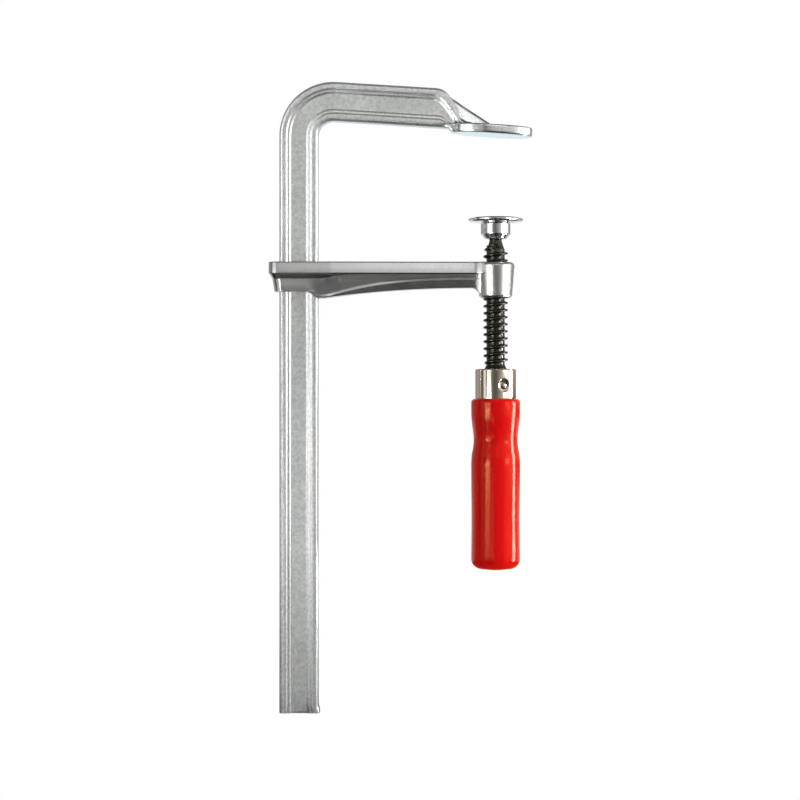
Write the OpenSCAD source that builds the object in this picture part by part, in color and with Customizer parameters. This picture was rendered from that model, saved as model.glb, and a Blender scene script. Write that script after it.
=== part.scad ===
// Screw clamp: a bent steel rail, a forged arm that slides on it and a screw with a turned handle.
// Millimetres. +Z runs up along the rail, +X points out of the throat, the front faces -Y.
// The origin is where the screw's axis meets the clamping face of the fixed jaw.

/* [Rail] */
// Reach from the rail's inner edge to the screw's axis
throat = 100; // [80:1:140]
// Length of the rail below the fixed jaw's face
rail_reach = 326; // [290:1:500]
// Width of the rail, in the plane of the clamp
rail_w = 22; // [20:0.5:28]
// Thickness of the rail, across the plane of the clamp
rail_t = 10.5; // [9:0.5:13]
// Rounding of the rail's four long edges
rail_edge_r = 2; // [1:0.1:3]
// Width of the flange along each edge of the rail's side
flange_w = 3.7; // [3.2:0.1:4.5]
// Width of each of the two sloping steps into the side's recess
recess_step_w = 0.85; // [0.5:0.05:1.2]
// Width of the land between those two steps
recess_land_w = 1.3; // [0.8:0.1:1.8]
// Depth of the recess rolled into each side of the rail
recess_depth = 1.8; // [1:0.1:2.4]
// Inner radius of the bend
bend_r = 8.5; // [6:0.5:14]
// How far the swaged end of the rail stands out, to stop the arm
stop_out = 0.8; // [0.5:0.1:1.5]
// Height of the swaged end
stop_h = 5; // [3:0.5:8]

/* [Fixed jaw] */
// Downward slope of the fixed arm and its jaw, in degrees, taken up when the clamp is tightened
toe = 3.5; // [1:0.5:6]
// Length of the jaw plate
jaw_len = 44.8; // [40:0.5:56]
// Width of the jaw plate
jaw_w = 24; // [20:0.5:30]
// Thickness of the jaw plate
jaw_t = 5.2; // [4:0.1:7]
// Reach of the jaw plate past the screw's axis
jaw_front = 20.5; // [16:0.5:24]
// Height of the arm's underside above the clamping face
jaw_drop = 2.3; // [1:0.1:3.5]
// Distance from the screw's axis back to the foot of the arm's sloping end
arm_foot = 18.5; // [15:0.5:22]
// Steepness of the arm's sloping end, in degrees
arm_end_slope = 55; // [45:1:65]
// Thickness of the gusset that stands on the jaw plate
gusset_t = 3; // [2:0.5:6]
// Distance from the screw's axis back to the thin end of the gusset
gusset_end = 1; // [-4:0.5:5]

/* [Sliding arm] */
// Height of the arm's top flange
top_flange_h = 6.8; // [5:0.1:9]
// Height of the groove between the top flange and the guide block
groove_h = 3; // [2:0.1:4]
// Height of the guide block beside the rail
guide_h = 7; // [5:0.1:10]
// How far the heel below the slot's inner face hangs under the guide block
heel_drop = 3.6; // [1.5:0.1:6]
// Steel beside the slot in the top flange
side_wall = 4; // [3:0.1:6]
// Steel behind the rail in the top flange
end_wall = 5.7; // [4:0.1:8]
// How far the guide block is set in from the top flange, all round
guide_inset = 1.5; // [0.8:0.1:2]
// How far the groove and the web are set in from the top flange
web_inset = 2.8; // [2:0.1:3]
// How far the ridge along the web stands out from it
ridge_out = 0.9; // [0.5:0.1:1.5]
// Depth of the ridge below the arm's top, at the boss
ridge_depth = 9.2; // [8:0.1:11]
// Depth of the arm's lower edge below its top, at the boss
arm_depth = 13.7; // [12:0.1:16]
// Height of the threaded boss
boss_h = 20.2; // [18:0.1:26]
// Steel round the thread at the top of the boss
boss_wall = 3.5; // [2.5:0.1:6]
// How much the boss narrows downwards, on its radius
boss_taper = 1.6; // [0.5:0.1:2]
// Rounding of the boss's edges
boss_edge_r = 1.5; // [0.5:0.1:2]
// Play between the rail and the slot of the arm
slide_clear = 0.3; // [0.2:0.05:0.6]

/* [Screw] */
// Outer diameter of the screw thread
thread_d = 14; // [12:0.5:18]
// Pitch of the thread, right-hand, one start
pitch = 4; // [3:0.5:6]
// Depth of the thread
thread_depth = 2.1; // [1.5:0.1:2.5]
// Width of the thread's crest
crest_w = 1.2; // [0.8:0.1:1.4]
// Width of each sloping flank, along the screw
flank_w = 0.7; // [0.4:0.05:0.8]
// Length of the thread
thread_len = 64.5; // [50:0.5:110]
// Radial play of the thread in the boss
thread_clear = 0.35; // [0.25:0.05:0.6]
// Axial play at each flank of the thread in the boss
flank_clear = 0.25; // [0.15:0.05:0.3]
// Diameter of the ball on the screw's tip
ball_d = 9; // [8.5:0.5:12]
// Diameter of the neck below the ball
neck_d = 6.8; // [5:0.2:7]
// Length from the ball's centre to the start of the thread
neck_len = 10.9; // [9.5:0.1:16]
// Length of the plain collar between the thread and the handle
collar_len = 3.4; // [2:0.1:6]
// Diameter of the collar where it meets the ferrule
collar_d = 12.6; // [12:0.1:15]
// Diameter of the tang that goes into the handle
tang_d = 8; // [7:0.5:9]
// Length of the tang
tang_len = 53; // [40:1:80]

/* [Pressure plate] */
// Diameter of the pressure plate
plate_d = 31; // [27:0.5:40]
// Thickness of the pressure plate's rim
plate_rim = 2.3; // [1.5:0.1:3]
// Thickness of steel between the ball's seat and the plate's face
seat_t = 1.6; // [1:0.1:3]
// Steel round the socket
cup_wall = 2.3; // [1.5:0.1:4]
// Height of the lip that closes the socket under the snap ring
lip_h = 1.5; // [1:0.1:2.5]
// Room round the neck in the socket's mouth, for tilting
mouth_room = 1; // [0.9:0.1:1.4]
// Play of the ball in its socket
socket_clear = 0.3; // [0.2:0.05:0.5]
// Diameter of the snap ring's wire
ring_wire_d = 1; // [0.8:0.1:1.2]
// Play of the snap ring between ball and socket
ring_clear = 0.2; // [0.15:0.05:0.3]
// Gap in the snap ring, in degrees
ring_gap = 30; // [15:1:60]

/* [Handle] */
// Diameter of the ferrule
ferrule_d = 23.2; // [21:0.2:25]
// Height of the ferrule
ferrule_h = 16.8; // [14:0.1:22]
// Wall of the ferrule, and of its top
ferrule_wall = 1.8; // [1.2:0.1:2.5]
// Diameter of the pin through ferrule, handle and tang
pin_d = 4.6; // [3:0.2:5]
// Direction of the pin, in degrees from the front towards +X
pin_turn = 22.6; // [0:0.2:60]
// Diameter of the dimple that the pin is set in
dimple_d = 7.6; // [6.4:0.2:9]
// Depth of that dimple
dimple_depth = 1.2; // [0.6:0.1:1.6]
// Largest diameter of the wooden handle
grip_d = 27.7; // [26:0.1:34]
// Diameter of the handle's waist
waist_d = 24.8; // [22:0.1:26]
// Length of the handle below the ferrule
grip_len = 96.8; // [80:0.2:130]
// Distance from the ferrule down to the narrowest part of the waist
waist_at = 24.5; // [20:0.5:30]
// Length over which the waist widens again to the handle's edge
waist_rise = 7.5; // [5:0.5:12]
// Rounding at the handle's free end
grip_end_r = 5.7; // [3:0.1:9]
// Rounding at the handle's shoulder under the ferrule
shoulder_r = 2; // [1:0.1:3]
// Play of pieces that are fitted into each other for good
fit_clear = 0.05; // [0.02:0.01:0.1]

/* [Position] */
// Gap between the jaw's face and the pressure plate as the clamp is shown
open_gap = 46.7; // [40:0.1:60]

/* [Hidden] */
$fn = 64;
cut_over = 1;               // overrun of cutting shapes past the faces that they cut
arc_steps = 4;              // straight steps along each rounded edge of an outline
thread_steps = 24;          // flat steps in one turn of the thread
web_steps = 9;              // stations along the swept web
steel_grey = "#b4b6b3";
forged_grey = "#8e8e89";
black_oxide = "#2b2926";
bright_steel = "#cfd4d6";
nickel = "#b9b2a5";
red_lacquer = "#c91414";

// Fixed jaw and bend
bend_x = -throat + bend_r;
bend_z = (-bend_x * sin(toe) - bend_r + jaw_drop) / cos(toe);
arm_run = -bend_x * cos(toe) + bend_z * sin(toe);
arm_top_p = jaw_drop + rail_w;
bend_swell = 0.03;                                  // the bend is this much fuller than the bar, all round
bend_lap = 0.5;                                     // bar and arm run this far into the bend
arm_corner_p = arm_top_p - 4;                       // where the sloping end starts to round over
foot_rise = 1.4;                                    // the slope's foot stands this far above the plate
arm_corner_q = -arm_foot - (arm_corner_p - jaw_t - foot_rise) / tan(arm_end_slope);

// Heights along the screw, as the clamp is shown
ball_r = ball_d / 2;
neck_r = neck_d / 2;
ball_z = -open_gap - seat_t - socket_clear - ball_r;
thread_top = ball_z - neck_len;
thread_low = thread_top - thread_len;
ferrule_top = thread_low - collar_len;
ferrule_low = ferrule_top - ferrule_h;
arm_above_thread_low = 56.9;                        // screw left below the arm's top
arm_top = thread_low + arm_above_thread_low;

// Thread
thread_r = thread_d / 2;
root_r = thread_r - thread_depth;
land_r = root_r + 0.1;                              // plain ends of the thread cover its root
runout_turns = 0.6;
lead_in_h = 1;

// Socket of the pressure plate and the snap ring in it
ring_dip = 33;                                      // degrees of the ring below the ball's equator
ring_reach = ball_r + ring_clear + ring_wire_d / 2;
ring_r = ring_reach * cos(ring_dip);
ring_z = ball_z - ring_reach * sin(ring_dip);
socket_r = ball_r + socket_clear;
groove_r = ring_reach + ring_wire_d / 2 + ring_clear;
groove_dip = 16;                                    // degrees below the equator where the groove starts
mouth_r = neck_r + mouth_room;
mouth_dip = acos(mouth_r / groove_r);
cup_r = groove_r + cup_wall;
cup_low = ball_z - groove_r * sin(mouth_dip) - lip_h;
cup_round = 3;

// Sliding arm
slot_w = rail_w + 2 * slide_clear;
slot_half_t = rail_t / 2 + slide_clear;
flange_half = slot_half_t + side_wall;
guide_half = flange_half - guide_inset;
web_half = flange_half - web_inset;
arm_end_x = -throat - rail_w - slide_clear - end_wall;
arm_corner_r = 2.5;
guide_top = top_flange_h + groove_h;
guide_low = guide_top + guide_h;
heel_low = guide_low + heel_drop;
boss_top_r = thread_r + thread_clear + boss_wall;
boss_low_r = boss_top_r - boss_taper;
flange_end_half = 0.65 * boss_top_r;                // half width of the flange where it meets the boss
collar_reach = 7;                                   // the flange keeps its full width this far past the rail
heel_w = 3.6;
heel_x = -throat + heel_w;
web_curve = 2.45;                                   // exponent of the sweep from the heel up to the boss

// Handle
ferrule_r = ferrule_d / 2;
spigot_r = ferrule_r - ferrule_wall - fit_clear;
tang_r = tang_d / 2;
tang_bore_r = tang_r + fit_clear;
pin_r = pin_d / 2;
pin_hole_r = pin_r + fit_clear;
pin_z = ferrule_top - 0.55 * ferrule_h;
pin_half = ferrule_r - dimple_depth / 2;
pin_dome = 0.6;
grip_low = ferrule_low - grip_len;
grip_r = grip_d / 2;
waist_r = waist_d / 2;
waist_z = ferrule_low - waist_at;
edge_z = waist_z - waist_rise;
grip_end_dome = 0.8;

// Points along an arc, from angle a0 to a1
function arc(centre, r, a0, a1, steps = arc_steps) =
    [for (i = [0:steps]) let (a = a0 + (a1 - a0) * i / steps) centre + r * [cos(a), sin(a)]];

// One side of the rail's section, from edge to edge: flange, step, land, step, recess floor and back
function rail_side(swell) =
    let (a = rail_w / 2 - flange_w - swell, b = a - recess_step_w,
         c = b - recess_land_w, d = c - recess_step_w,
         top = rail_t / 2 + swell, land = top - recess_depth / 2, floor = top - recess_depth)
    [[a, top], [b, land], [c, land], [d, floor], [-d, floor], [-c, land], [-b, land], [-a, top]];

// Whole section of the rail, its width along x, centred at x = shift and fuller by swell
function rail_section(shift, swell = 0) =
    let (x = rail_w / 2 - rail_edge_r, y = rail_t / 2 - rail_edge_r, r = rail_edge_r + swell)
    [for (p = concat(arc([x, y], r, 0, 90), rail_side(swell), arc([-x, y], r, 90, 180),
                     arc([-x, -y], r, 180, 270), -rail_side(swell), arc([x, -y], r, 270, 360)))
        p + [shift, 0]];

// Bent rail with its fixed jaw

module rail_bar() {
    translate([0, 0, -rail_reach])
        linear_extrude(rail_reach + bend_z + bend_lap) polygon(rail_section(-throat - rail_w / 2));
}

module rail_bend() {
    translate([bend_x, 0, bend_z]) rotate([90, 0, 0]) rotate([0, 0, 90 - toe])
        rotate_extrude(angle = 90 + toe) polygon(rail_section(bend_r + rail_w / 2, bend_swell));
}

// Cut that slopes the arm's end, in the jaw's frame: x along the arm from the screw's axis, y up
module arm_end_cut() {
    past = arm_top_p + cut_over;
    polygon([[-arm_foot + 3, jaw_t], [-arm_foot, jaw_t + foot_rise], [arm_corner_q, arm_corner_p],
             [arm_corner_q - 2.6, arm_top_p - 1.2], [arm_corner_q - 6.5, arm_top_p + 0.01],
             [arm_corner_q - 6.5, past], [0, past], [0, jaw_t]]);
}

// Arm from inside the bend to its sloping end
module fixed_arm() {
    translate([bend_x, 0, bend_z]) rotate([0, toe, 0]) difference() {
        translate([-bend_lap, 0, 0]) rotate([90, 0, 90]) linear_extrude(arm_run - arm_foot + 1 + bend_lap)
            polygon([for (p = rail_section(bend_r + rail_w / 2)) [p[1], p[0]]]);
        translate([arm_run, 0, bend_r - jaw_drop]) rotate([90, 0, 0])
            linear_extrude(rail_t + 2 * cut_over, center = true) arm_end_cut();
    }
}

module jaw_outline() {
    r = jaw_w / 2;
    translate([jaw_front - jaw_len + r, -r]) square([jaw_len - jaw_w, jaw_w]);
    translate([jaw_front - jaw_len + r, 0]) circle(r);
    translate([jaw_front - r, 0]) circle(r);
}

// The arm's lower part spreads out into the plate
module jaw_flare() {
    start = -arm_foot - 16;
    hull() {
        translate([start, -rail_t / 2 + 1, jaw_drop + rail_edge_r]) cube([1, rail_t - 2, 7]);
        translate([jaw_front - jaw_len + jaw_w / 2, 0, jaw_t / 2])
            linear_extrude(jaw_t / 2) circle(jaw_w / 2 - 0.5, $fn = 32);
    }
}

module gusset() {
    rotate([90, 0, 0]) linear_extrude(gusset_t, center = true)
        polygon([[arm_corner_q - 2, arm_corner_p], [arm_corner_q + 1, arm_corner_p],
                 [-gusset_end, jaw_t - 1], [-arm_foot - 2, jaw_t - 1]]);
}

// Swaged lip at the free end that keeps the arm on the rail
module end_stop() {
    translate([-throat, 0, -rail_reach]) rotate([90, 0, 0])
        linear_extrude(rail_t - 2 * rail_edge_r, center = true)
            polygon([[-1, 0], [stop_out, 0], [stop_out, stop_h / 3], [0, stop_h], [-1, stop_h]]);
}

module rail() {
    color(steel_grey) {
        rail_bar();
        rail_bend();
        fixed_arm();
        rotate([0, toe, 0]) {
            linear_extrude(jaw_t) jaw_outline();
            jaw_flare();
            gusset();
        }
        end_stop();
    }
}

// Thread: one helical strip of root, flank, crest and flank, closed by fans at both ends

function thread_ramp(turn, turns, runout) =
    runout == 0 ? 1 : min(1, turn / runout, (turns - turn) / runout);

module thread(z_low, turns, root, depth, half_crest, half_root, runout) {
    steps = thread_steps;
    last = round(turns * steps);
    offsets = [-half_root, -half_crest, half_crest, half_root];
    points = [for (i = [0:last], j = [0:3])
        let (a = 360 * i / steps,
             rise = (j == 1 || j == 2) ? depth * thread_ramp(i / steps, last / steps, runout) : 0,
             r = root + rise)
        [r * cos(a), r * sin(a), z_low + pitch * i / steps + offsets[j]]];
    low_centre = len(points);
    high_centre = low_centre + 1;
    centres = [[0, 0, z_low], [0, 0, z_low + pitch * last / steps]];
    function at(i, j) = j < 4 ? 4 * i + j : 4 * (i + steps);
    strips = [for (i = [0:last - 1], j = [0:3]) if (j < 3 || i < last - steps)
        each [[at(i, j), at(i, j + 1), at(i + 1, j + 1)], [at(i, j), at(i + 1, j + 1), at(i + 1, j)]]];
    low_fan = [for (i = [0:steps - 1]) [at(i, 0), at(i + 1, 0), low_centre]];
    low_step = [for (j = [0:3]) [at(0, j + 1), at(0, j), low_centre]];
    high_fan = [for (i = [last - steps:last - 1]) [at(i + 1, 3), at(i, 3), high_centre]];
    high_step = concat([[at(last - steps, 3), at(last, 0), high_centre]],
                       [for (j = [0:2]) [at(last, j), at(last, j + 1), high_centre]]);
    polyhedron(concat(points, centres), concat(strips, low_fan, low_step, high_fan, high_step));
}

// Sliding arm

// Share of the way from the heel to the boss, turned into how much of the heel's drop is left
function sweep(t) = pow(1 - t, web_curve);

// Section of the web at a station: x, depth of the ridge and depth of the lower edge
function web_station(x, ridge, low) = [
    [x, -web_half, -top_flange_h + 1], [x, -web_half, -top_flange_h - 1],
    [x, -web_half - ridge_out, -ridge], [x, -web_half + ridge_out, -low],
    [x, web_half - ridge_out, -low], [x, web_half + ridge_out, -ridge],
    [x, web_half, -top_flange_h - 1], [x, web_half, -top_flange_h + 1]];

// Web with its ridge: from beside the rail, down over the heel, then swept up to the boss
module swept_web() {
    ridge_lift = 0.3;
    stations = concat(
        [web_station(-throat - heel_w - 3, guide_low - 1.5, guide_low - 0.5),
         web_station(-throat - heel_w / 2, guide_low + 0.2, guide_low + 1),
         web_station(-throat, heel_low - ridge_lift - 0.3, heel_low)],
        [for (i = [0:web_steps]) let (t = i / web_steps, left = sweep(t))
            web_station(heel_x * (1 - t),
                        ridge_depth + (heel_low - ridge_lift - ridge_depth) * left,
                        arm_depth + (heel_low - arm_depth) * left)]);
    n = len(stations[0]);
    rows = len(stations);
    sides = [for (i = [0:rows - 2], j = [0:n - 1]) let (k = (j + 1) % n)
        each [[i * n + j, (i + 1) * n + j, (i + 1) * n + k], [i * n + j, (i + 1) * n + k, i * n + k]]];
    first = [for (j = [1:n - 2]) [0, j, j + 1]];
    final = [for (j = [1:n - 2]) [(rows - 1) * n, (rows - 1) * n + j + 1, (rows - 1) * n + j]];
    polyhedron([for (s = stations) each s], concat(sides, first, final));
}

// Plan of the top flange: full width at the rail, narrowing to the boss
module flange_plan() {
    r = arm_corner_r;
    end_corner = arc([arm_end_x + r, flange_half - r], r, 90, 180);
    upper = concat([[0, flange_end_half], [-throat + collar_reach, flange_half]], end_corner);
    polygon(concat(upper, [for (i = [len(upper) - 1:-1:0]) [upper[i][0], -upper[i][1]]]));
}

// Block below the groove that guides the arm on the rail, cut off on the slant towards the web
module guide_block() {
    left = arm_end_x + guide_inset;
    rotate([90, 0, 0]) linear_extrude(2 * guide_half, center = true)
        polygon([[left, -guide_top], [-throat + collar_reach + 2, -guide_top],
                 [-throat + collar_reach + 2, -guide_top - 1.6], [-throat - 2, -guide_low + 1],
                 [-throat - 5, -guide_low], [left + 1.2, -guide_low]]);
}

// Steel in the groove between flange and guide block
module groove_core() {
    left = arm_end_x + web_inset;
    translate([left, -web_half, -guide_top - 1])
        cube([-throat + collar_reach - left, 2 * web_half, groove_h + 2]);
}

module boss() {
    r = boss_edge_r;
    rotate_extrude()
        polygon(concat([[0, 0]], arc([boss_top_r - r, -r], r, 90, 0),
                       arc([boss_low_r - r, -boss_h + r], r, 0, -90), [[0, -boss_h]]));
}

// Thread cut in the boss: the screw's own thread with play, whole turns away from it
module boss_thread() {
    turns_below = floor((arm_top - boss_h - thread_low) / pitch) - 1;
    turns = ceil(boss_h / pitch) + 3;
    thread(thread_low + pitch / 2 + turns_below * pitch, turns, root_r + thread_clear, thread_depth,
           crest_w / 2 + flank_clear, crest_w / 2 + flank_w + flank_clear, 0);
}

// Cone that opens the thread at one end of the boss; it is as wide as the thread at that end's face
module lead_in() {
    r = thread_r + thread_clear;
    translate([0, 0, -lead_in_h]) cylinder(lead_in_h + cut_over, r - lead_in_h, r + cut_over);
}

module arm_forging() {
    translate([0, 0, -top_flange_h]) linear_extrude(top_flange_h) flange_plan();
    groove_core();
    guide_block();
    swept_web();
    boss();
}

module rail_slot() {
    translate([-throat - rail_w - slide_clear, -slot_half_t, -heel_low - cut_over])
        cube([slot_w, 2 * slot_half_t, heel_low + 2 * cut_over]);
}

module sliding_arm() {
    color(forged_grey) difference() {
        translate([0, 0, arm_top]) difference() {
            arm_forging();
            rail_slot();
            lead_in();
            translate([0, 0, -boss_h]) mirror([0, 0, 1]) lead_in();
        }
        boss_thread();
    }
}

// Screw

// Ball, neck and the plain start of the thread, from the top down
module spindle_tip() {
    neck_start = acos(neck_r * 0.9 / ball_r);
    flare = 3.5;
    rotate_extrude()
        polygon(concat([[0, ball_z + ball_r]],
                       [for (i = [1:12]) let (a = 90 - (90 + neck_start) * i / 12)
                           [ball_r * cos(a), ball_z + ball_r * sin(a)]],
                       [[neck_r, ball_z - ball_r - 0.6]],
                       [for (i = [0:6]) let (a = 15 * i)
                           [neck_r + (land_r - neck_r) * (1 - cos(a)),
                            thread_top + flare - flare * sin(a)]],
                       [[land_r, thread_top - 1.5 * pitch], [0, thread_top - 1.5 * pitch]]));
}

// Plain end of the thread, flared collar and tang
module spindle_tail() {
    rotate_extrude()
        polygon([[0, thread_low + 1.5 * pitch], [land_r, thread_low + 1.5 * pitch], [land_r, thread_low],
                 [collar_d / 2, ferrule_top + 0.5], [collar_d / 2, ferrule_top],
                 [tang_r, ferrule_top], [tang_r, ferrule_top - tang_len + 1],
                 [tang_r - 1, ferrule_top - tang_len], [0, ferrule_top - tang_len]]);
}

// Whatever is meant lies along the pin, which crosses the handle at its own height
module along_pin() {
    translate([0, 0, pin_z]) rotate([0, 0, pin_turn]) rotate([90, 0, 0]) children();
}

module pin_hole() {
    along_pin() cylinder(2 * grip_d, r = pin_hole_r, center = true);
}

module spindle() {
    turns = floor((thread_len - pitch) / pitch * thread_steps) / thread_steps;
    color(black_oxide) difference() {
        union() {
            spindle_tip();
            thread(thread_low + pitch / 2, turns, root_r, thread_depth,
                   crest_w / 2, crest_w / 2 + flank_w, runout_turns);
            spindle_tail();
        }
        pin_hole();
    }
}

// Pressure plate and snap ring

module pressure_plate() {
    face = -open_gap;
    plate_r = plate_d / 2;
    under = face - plate_rim;
    edge = 0.5;
    seat = [for (i = [0:8]) let (a = 90 - (90 + groove_dip) * i / 8)
        [socket_r * cos(a), ball_z + socket_r * sin(a)]];
    groove = [for (i = [0:4]) let (a = -groove_dip - (mouth_dip - groove_dip) * i / 4)
        [groove_r * cos(a), ball_z + groove_r * sin(a)]];
    lip = [[mouth_r, cup_low + lip_h / 3], [mouth_r + 0.4, cup_low]];
    shell = concat(arc([cup_r - cup_round, cup_low + cup_round], cup_round, -90, 0),
                   arc([cup_r + 1, under - 1], 1, 180, 90),
                   [[plate_r - edge, under], [plate_r, under + edge], [plate_r, face - edge],
                    [plate_r - edge, face], [0, face]]);
    color(bright_steel) rotate_extrude() polygon(concat(seat, groove, lip, shell));
}

module snap_ring() {
    color(bright_steel) translate([0, 0, ring_z]) rotate([0, 0, ring_gap / 2])
        rotate_extrude(angle = 360 - ring_gap) translate([ring_r, 0]) circle(ring_wire_d / 2);
}

// Handle

module dimple() {
    for (side = [0, 180])
        rotate([0, side, 0]) translate([0, 0, ferrule_r - dimple_depth])
            cylinder(2 * dimple_depth, pin_hole_r, dimple_d - pin_hole_r);
}

module handle_ferrule() {
    edge = 0.7;
    inside = spigot_r + fit_clear;
    color(nickel) difference() {
        rotate_extrude()
            polygon(concat([[tang_bore_r, ferrule_top - ferrule_wall], [tang_bore_r, ferrule_top]],
                           arc([ferrule_r - edge, ferrule_top - edge], edge, 90, 0),
                           [[ferrule_r, ferrule_low], [inside, ferrule_low],
                            [inside, ferrule_top - ferrule_wall]]));
        pin_hole();
        along_pin() dimple();
    }
}

// Outline of the turned handle from its spigot down to the free end
function grip_outline() =
    let (s = shoulder_r, e = grip_end_r,
         neck_side = [for (i = [0:6]) let (t = i / 6)
             [grip_r - (grip_r - waist_r) * (1 - cos(180 * t)) / 2,
              ferrule_low - s - (waist_at - s) * (0.25 + 0.75 * t)]],
         rise_side = [for (i = [1:4]) let (t = i / 4)
             [waist_r + (grip_r - waist_r) * t * t, waist_z - waist_rise * t]])
    concat([[spigot_r, ferrule_top - ferrule_wall - fit_clear], [spigot_r, ferrule_low]],
           arc([grip_r - s, ferrule_low - s], s, 90, 0), neck_side, rise_side,
           arc([grip_r - e, grip_low + grip_end_dome + e], e, 0, -80, 6), [[0, grip_low]]);

module handle_grip() {
    color(red_lacquer) difference() {
        rotate_extrude()
            polygon(concat([[0, ferrule_top - ferrule_wall - fit_clear]], grip_outline()));
        translate([0, 0, ferrule_top - tang_len - 1]) cylinder(tang_len + cut_over, r = tang_bore_r);
        pin_hole();
    }
}

module handle_pin() {
    color(steel_grey) along_pin() rotate_extrude()
        polygon([[0, -pin_half], [pin_r - pin_dome, -pin_half + 0.15], [pin_r, -pin_half + pin_dome],
                 [pin_r, pin_half - pin_dome], [pin_r - pin_dome, pin_half - 0.15], [0, pin_half]]);
}

rail();
sliding_arm();
spindle();
pressure_plate();
snap_ring();
handle_ferrule();
handle_grip();
handle_pin();
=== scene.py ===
import math

import bmesh
import bpy
from mathutils import Matrix, Vector


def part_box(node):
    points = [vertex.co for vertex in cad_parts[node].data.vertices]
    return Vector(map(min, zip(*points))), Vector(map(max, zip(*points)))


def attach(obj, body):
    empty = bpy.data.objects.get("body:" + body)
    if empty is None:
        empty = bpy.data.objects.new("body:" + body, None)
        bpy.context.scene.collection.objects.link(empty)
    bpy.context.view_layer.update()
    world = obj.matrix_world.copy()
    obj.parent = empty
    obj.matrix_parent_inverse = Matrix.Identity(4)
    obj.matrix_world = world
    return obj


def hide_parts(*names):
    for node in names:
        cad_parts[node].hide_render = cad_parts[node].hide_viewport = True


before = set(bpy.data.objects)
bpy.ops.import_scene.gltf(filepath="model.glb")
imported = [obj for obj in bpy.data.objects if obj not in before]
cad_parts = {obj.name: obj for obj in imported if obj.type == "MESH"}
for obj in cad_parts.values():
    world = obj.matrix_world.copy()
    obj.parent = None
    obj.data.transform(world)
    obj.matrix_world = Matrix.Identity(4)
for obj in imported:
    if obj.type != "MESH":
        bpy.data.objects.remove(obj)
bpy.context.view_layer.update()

# Rail
# One bar of rolled steel with a stepped recess down each side, bent hot at the corner. Its short leg
# is forged out into the jaw plate, with a thin gusset left standing behind it. Plated to a soft
# silver. The free end is swaged, so that the arm can't slide off.
MM = 0.001
RAIL_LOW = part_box("rail")[0].z / MM
THROAT = 100
RAIL_W = 22
RAIL_HALF_T = 5.25
RAIL_EDGE_R = 2
BEND_R = 8.5
TOE = math.radians(3.5)
JAW_DROP = 2.3
JAW_T = 5.2
JAW_HALF_W = 12
JAW_HALF_L = 22.4
JAW_MIDDLE_Q = -1.9
JAW_OVAL = 2.4
JAW_EDGE_R = 0.8
GUSSET_HALF_T = 1.5
GUSSET_BROW_R = 1.4
GUSSET_ROOT_R = 0.6
GUSSET_DRAFT = 0.11
SLOPE_FILLET_R = 1.8
# Steps of the recess as (distance from the bar's edge, depth)
RECESS = ((3.7, 0), (4.75, 0.6), (5.7, 0.6), (6.75, 1.2))
RECESS_SOFT = 0.3
STOP_OUT = 0.8
STOP_H = 5
# Points of a half section before its recessed side, and after it
TOP_POINTS = 21
LOW_POINTS = 29


def arc(x, y, radius, start, end, steps):
    """Points round (x, y) from one angle to another, in degrees."""
    angles = [math.radians(start + (end - start) * k / steps) for k in range(steps + 1)]
    return [Vector((x + radius * math.cos(a), y + radius * math.sin(a))) for a in angles]


def respaced(path, count):
    """The same path as a given number of points at even steps."""
    reached = [0.0]
    for a, b in zip(path, path[1:]):
        reached.append(reached[-1] + (b - a).length)
    points = []
    i = 0
    for k in range(count):
        s = reached[-1] * k / (count - 1)
        while i < len(path) - 2 and reached[i + 1] < s:
            i += 1
        span = reached[i + 1] - reached[i]
        points.append(path[i].lerp(path[i + 1], (s - reached[i]) / span if span else 0))
    return points


def eased(low, high, x):
    """0 below low, 1 above high and a smooth rise between them."""
    t = min(1, max(0, (x - low) / (high - low)))
    return t * t * (3 - 2 * t)


def along(x, *stations):
    """Value at x of a line through (x, value) stations."""
    for (xa, va), (xb, vb) in zip(stations, stations[1:]):
        if x <= xb:
            return va + (vb - va) * min(1, max(0, (x - xa) / (xb - xa)))
    return stations[-1][1]


def softened(corners, reach):
    """Path through corners, each inner one eased into three points within reach of it."""
    line = [corners[0]]
    for a, c, b in zip(corners, corners[1:], corners[2:]):
        start = c.lerp(a, min(0.45, reach / max(reach, (a - c).length)))
        end = c.lerp(b, min(0.45, reach / max(reach, (b - c).length)))
        line += [start, 0.25 * start + 0.5 * c + 0.25 * end, end]
    return line + [corners[-1]]


def recessed_side(start, end, upper, lower):
    """Side of the bar from height start to end; upper and lower give the heights of the recess's steps."""
    down = [Vector((RAIL_HALF_T, start))]
    up = [Vector((RAIL_HALF_T, end))]
    for width, depth in RECESS:
        middle = (upper(width) + lower(width)) / 2
        depth *= min(1, max(0, upper(width) - lower(width)))
        down.append(Vector((RAIL_HALF_T - depth, max(upper(width), middle))))
        up.append(Vector((RAIL_HALF_T - depth, min(lower(width), middle))))
    return softened(down + up[::-1], RECESS_SOFT)


def bar_outline(top, low):
    """Half section of the bar, from the middle of its top edge round to the middle of its lower edge."""
    r = RAIL_EDGE_R
    flat = RAIL_HALF_T - r
    turn = arc(flat, low + r, r, 0, -90, 8)
    return [
        *respaced([Vector((0, top)), Vector((0.3 * flat, top))], 4),
        *respaced([Vector((0.3 * flat, top)), Vector((flat, top))], 10),
        *arc(flat, top - r, r, 90, 0, 6),
        *recessed_side(top - r, low + r, lambda w: top - w, lambda w: low + w),
        *respaced(turn[:5], 12),
        *respaced(turn[4:], 12),
        *respaced([Vector((flat, low)), Vector((0, low))], 5),
    ]


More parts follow.
